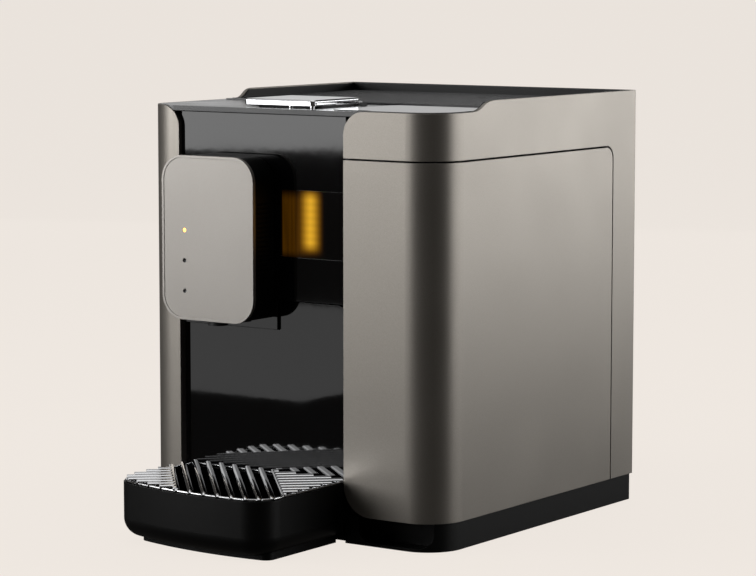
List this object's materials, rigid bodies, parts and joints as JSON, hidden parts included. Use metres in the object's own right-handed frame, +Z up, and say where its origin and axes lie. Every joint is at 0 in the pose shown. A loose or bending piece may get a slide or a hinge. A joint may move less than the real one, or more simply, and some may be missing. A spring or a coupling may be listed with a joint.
{
  "type": "capsule coffee machine",
  "caption": "Countertop capsule coffee machine with a top lever, height-adjustable brew head, pull-out tank drawer, drip tray and capsule bin.",
  "frame": {"origin": "centre of the underside of the whole machine's box, on the surface that it stands on", "axes": "+X to the machine's right seen from the front, +Y to the rear, +Z up"},
  "size_m": [0.2512, 0.348, 0.3],
  "materials": {
    "satin_grey": "satin metallic lacquer",
    "head_silver": "satin metallic lacquer",
    "polished_rim": "polished",
    "gloss_black": "high gloss",
    "satin_black": "satin",
    "matte_black": "matt",
    "deck_black": "semi gloss",
    "chrome": "polished",
    "steel": "brushed",
    "aluminium": "cast",
    "rubber": "matt",
    "silicone": "translucent white",
    "smoked_lens": "smoked",
    "amber_light": "lit amber",
    "circuit_green": "solder mask",
    "tank_clear": "clear smoked plastic",
    "frame_grey": "moulded",
    "chassis_white": "moulded"
  },
  "bodies": {
    "machine_body": {"base_plinth": "satin_black", "rubber_feet": "rubber", "left_side_shell": "satin_grey", "right_side_shell": "satin_grey", "rear_cover": "matte_black", "rear_screws": "steel", "top_deck": "deck_black", "rail_liner": "satin_black", "cup_plate": "deck_black", "top_inlay": "gloss_black", "fascia": "gloss_black", "status_window": "smoked_lens", "light_guide": "amber_light", "led_board": "circuit_green", "inner_chassis": "frame_grey", "capsule_slot_frame": "matte_black", "waste_chute": "frame_grey", "brew_chamber": "frame_grey", "chamber_seal": "silicone", "piston_guides": "steel", "thermoblock": "aluminium", "pump_body": "frame_grey", "pump_spring": "steel", "pump_mount": "rubber", "flow_meter": "chassis_white", "control_board": "circuit_green", "power_board": "circuit_green", "water_hoses": "silicone", "outlet_hose": "silicone", "tank_dock": "frame_grey", "inlet_socket": "matte_black", "rocker_bezel": "matte_black", "head_rails": "steel", "rail_bracket": "frame_grey", "drawer_runners": "frame_grey"},
    "lever": {"lever_plate": "chrome", "lever_frame": "matte_black", "lever_arms": "steel", "lever_pin": "steel", "lever_bumpers": "chrome"},
    "brew_piston_unit": {"brew_piston": "frame_grey", "toggle_links": "steel"},
    "brew_head": {"head_housing": "satin_black", "head_plate": "head_silver", "head_rim": "polished_rim", "touch_board": "circuit_green", "led_lenses": "amber_light", "spout_nozzle": "matte_black", "head_carriage": "matte_black"},
    "waste_unit": {"drip_tray": "satin_black", "capsule_container": "matte_black", "container_front": "gloss_black"},
    "grill": {"drip_grill": "chrome"},
    "tank_drawer": {"drawer_panel": "satin_grey", "drawer_carrier": "matte_black", "water_tank": "tank_clear", "tank_lid": "satin_black", "tank_valve": "silicone"},
    "rocker": {"power_rocker": "matte_black"},
    "pump_plunger": {"pump_piston": "steel"}
  },
  "joints": [
    {"name": "lever_hinge", "type": "hinge", "parent": "machine_body", "child": "lever", "pos_m": [-0.019, -0.006, 0.29], "axis": [-1, 0, 0], "range_deg": [0, 75]},
    {"name": "piston_slide", "type": "slide", "parent": "machine_body", "child": "brew_piston_unit", "axis": [0, -1, 0], "range_m": [0, 0.022]},
    {"name": "head_slide", "type": "slide", "parent": "machine_body", "child": "brew_head", "axis": [0, 0, 1], "range_m": [0, 0.025], "deforming": ["outlet_hose"]},
    {"name": "waste_slide", "type": "slide", "parent": "machine_body", "child": "waste_unit", "axis": [0, -1, 0], "range_m": [0, 0.16]},
    {"name": "grill_lift", "type": "slide", "parent": "waste_unit", "child": "grill", "axis": [0, 0, 1], "range_m": [0, 0.04]},
    {"name": "drawer_slide", "type": "slide", "parent": "machine_body", "child": "tank_drawer", "axis": [0, -1, 0], "range_m": [0, 0.2]},
    {"name": "rocker_tilt", "type": "hinge", "parent": "machine_body", "child": "rocker", "pos_m": [-0.05, 0.17, 0.044], "axis": [0, 0, 1], "range_deg": [0, 12]},
    {"name": "pump_stroke", "type": "slide", "parent": "machine_body", "child": "pump_plunger", "axis": [0, 0, -1], "range_m": [0, 0.005], "stiffness_N_per_m": 1500, "springref_m": -0.002, "deforming": ["pump_spring"]}
  ],
  "couplings": [
    {"joint": "piston_slide", "follows": "lever_hinge", "m_per_rad": 0.0168}
  ]
}
